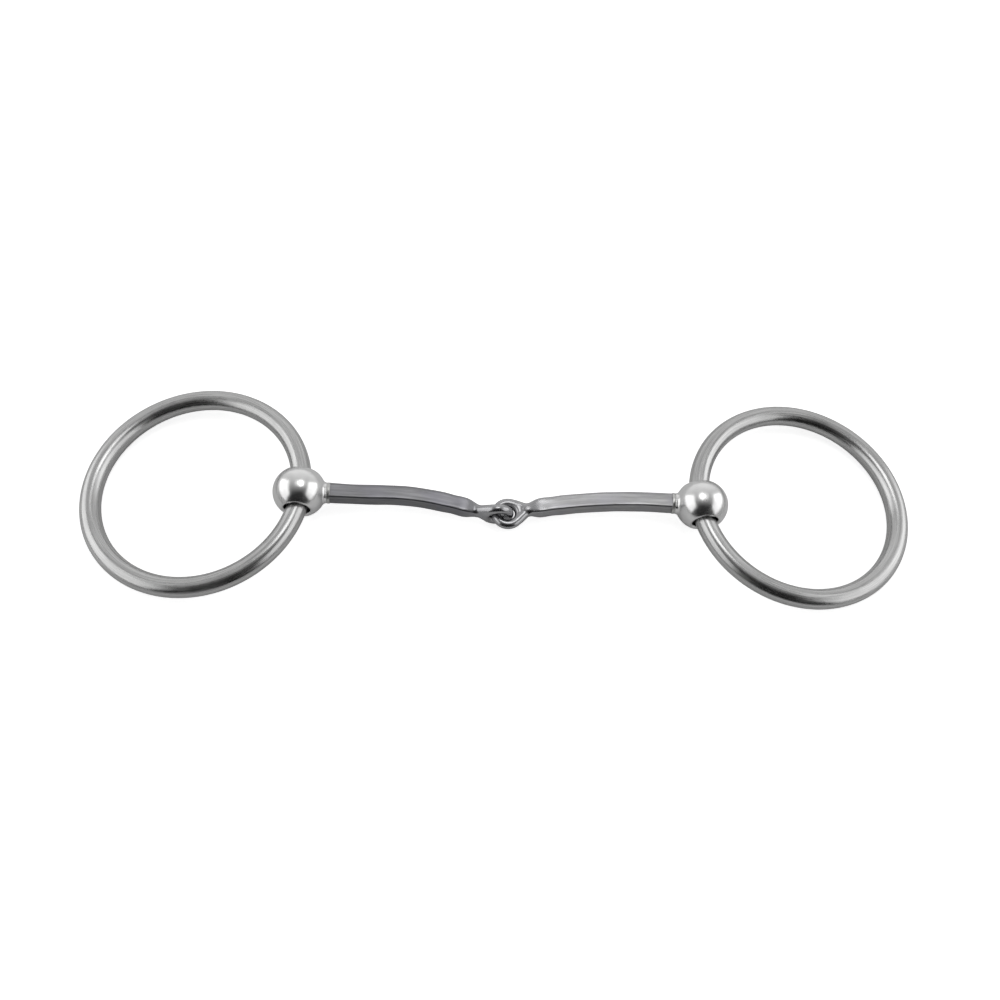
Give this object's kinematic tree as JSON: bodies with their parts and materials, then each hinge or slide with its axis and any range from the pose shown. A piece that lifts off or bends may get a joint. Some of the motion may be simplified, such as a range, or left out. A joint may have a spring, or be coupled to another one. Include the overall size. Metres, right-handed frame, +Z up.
{
  "type": "snaffle bit",
  "caption": "Loose-ring snaffle bit: two steel wire rings through ball ends on a jointed two-piece mouth of square bar.",
  "frame": {"origin": "middle of the bit's footprint on the table it lies on, with the bit laid out straight", "axes": "+X from the left ring to the right ring, +Y towards the convex side of the mouthpiece, +Z up from the table"},
  "size_m": [0.278, 0.0784, 0.0168],
  "materials": {
    "ring_steel": "satin stainless steel, brushed along the wire",
    "ball_steel": "mirror-polished stainless steel",
    "mouth_steel": "ground mild steel with fine lengthwise scratches, rubbed edges and a faint blue cast near the eyes",
    "weld_steel": "dressed weld bead, half polished"
  },
  "bodies": {
    "left_half": {"left_cannon": "mouth_steel", "left_ball_end": "ball_steel", "left_neck_weld": "weld_steel"},
    "right_half": {"right_cannon": "mouth_steel", "right_ball_end": "ball_steel", "right_neck_weld": "weld_steel"},
    "left_loose_ring": {"left_ring": "ring_steel"},
    "right_loose_ring": {"right_ring": "ring_steel"}
  },
  "joints": [
    {"name": "mouth_fold", "type": "hinge", "parent": "left_half", "child": "right_half", "pos_m": [0.00252, -0.00632, 0.0055], "axis": [0, 0, 1], "range_deg": [-95, 95]},
    {"name": "left_ring_swing", "type": "hinge", "parent": "left_half", "child": "left_loose_ring", "pos_m": [-0.06676, -0.00202, 0.00844], "axis": [0.0262, 0.9997, 0], "range_deg": [-110, 110]},
    {"name": "right_ring_swing", "type": "hinge", "parent": "right_half", "child": "right_loose_ring", "pos_m": [0.06689, -0.00204, 0.00844], "axis": [0.0924, -0.9957, 0], "range_deg": [-110, 110]}
  ]
}
